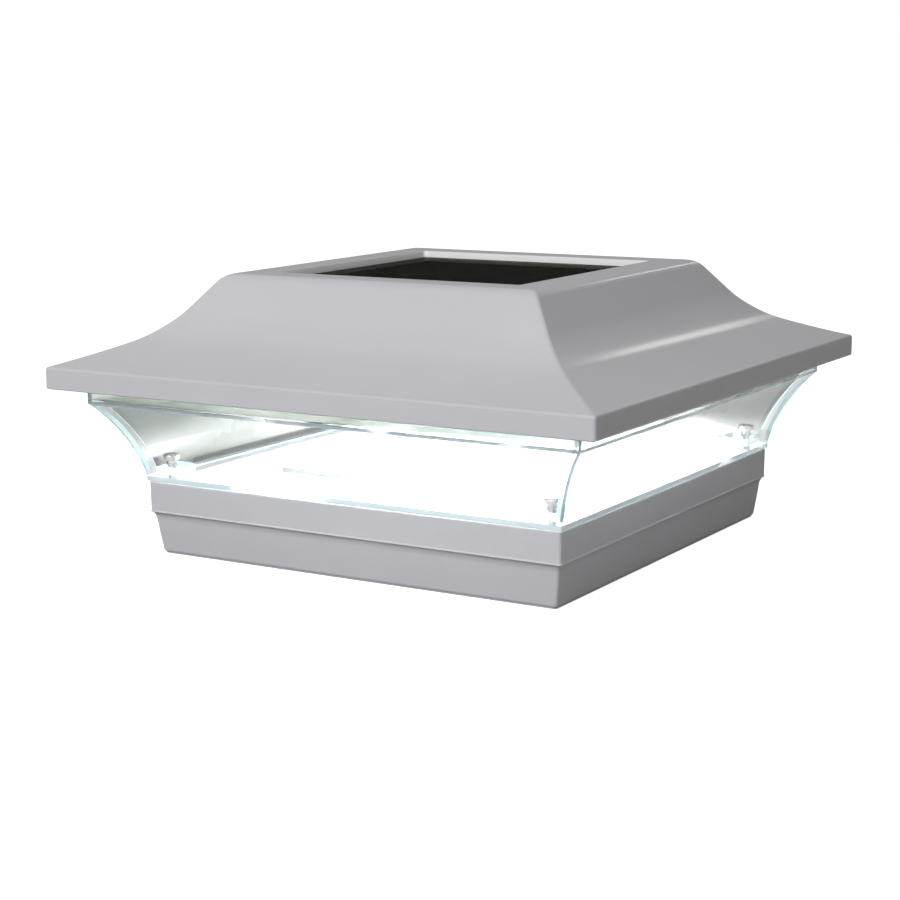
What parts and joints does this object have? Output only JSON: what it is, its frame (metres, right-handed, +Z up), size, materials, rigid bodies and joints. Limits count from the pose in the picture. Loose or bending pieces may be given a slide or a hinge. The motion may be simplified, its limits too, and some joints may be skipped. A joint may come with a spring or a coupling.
{
  "type": "solar deck post cap light",
  "caption": "Square deck post cap with a pyramid roof, a solar panel in its crown, a clear flared lens, a downward lamp and a skirt that slips over the post.",
  "frame": {"origin": "on the plane of the skirt's lower edge, at the middle of the square", "axes": "+Z up along the post, X and Y square to the sides"},
  "size_m": [0.183, 0.183, 0.0846],
  "materials": {
    "powder_coat": "cast, under a satin pale grey powder coat with a faint orange peel",
    "reflector_white": "sheet with a gloss white enamel",
    "clear_acrylic": "clear, polished, pale blue-green edges",
    "screw_steel": "bright zinc plate",
    "seal_rubber": "black foam rubber",
    "panel_glass": "clear, glossy",
    "solar_cell": "near black silicon with fine grid lines",
    "panel_board": "black laminate",
    "housing_plastic": "white moulded plastic, fine spark-erosion texture",
    "battery_wrap": "green shrink wrap over a steel can",
    "contact_steel": "nickel plated spring steel",
    "lamp_diffuser": "milky diffuser",
    "board_laminate": "green solder mask",
    "lamp_board_laminate": "white solder mask",
    "lamp_chip": "white package with pale yellow phosphor",
    "component_black": "black moulding",
    "component_can": "drawn can",
    "copper_winding": "lacquered winding wire",
    "switch_plastic": "black nylon",
    "lead_insulation": "soft insulation, red and black"
  },
  "bodies": {
    "base": {"base_skirt": "powder_coat", "reflector_sheet": "reflector_white", "lens": "clear_acrylic", "lens_screws": "screw_steel"},
    "cap": {"roof_shell": "powder_coat", "lens_seal": "seal_rubber", "panel_gasket": "seal_rubber", "panel_backboard": "panel_board", "solar_cells": "solar_cell", "panel_glass": "panel_glass", "cable_grommet": "seal_rubber", "electronics_housing": "housing_plastic", "housing_screws": "screw_steel", "batteries": "battery_wrap", "contact_plates": "contact_steel", "contact_springs": "contact_steel", "hinge_pin": "screw_steel", "lamp_cover": "lamp_diffuser", "lamp_board": "lamp_board_laminate", "lamp_chips": "lamp_chip", "lamp_screws": "screw_steel", "control_board": "board_laminate", "board_screws": "screw_steel", "capacitor": "component_can", "coil": "copper_winding", "driver_chip": "component_black", "switch_body": "component_can", "panel_leads": "lead_insulation", "battery_leads": "lead_insulation", "lamp_leads": "lead_insulation"},
    "battery_door": {"battery_door": "housing_plastic"},
    "switch_knob": {"switch_knob": "switch_plastic"}
  },
  "joints": [
    {"name": "roof_lift", "type": "slide", "parent": "base", "child": "cap", "axis": [0, 0, 1], "range_m": [0, 0.06]},
    {"name": "battery_door_hinge", "type": "hinge", "parent": "cap", "child": "battery_door", "pos_m": [0, 0.0412, 0.0604], "axis": [1, 0, 0], "range_deg": [0, 70]},
    {"name": "power_switch", "type": "slide", "parent": "cap", "child": "switch_knob", "axis": [1, 0, 0], "range_m": [0, 0.003]}
  ]
}
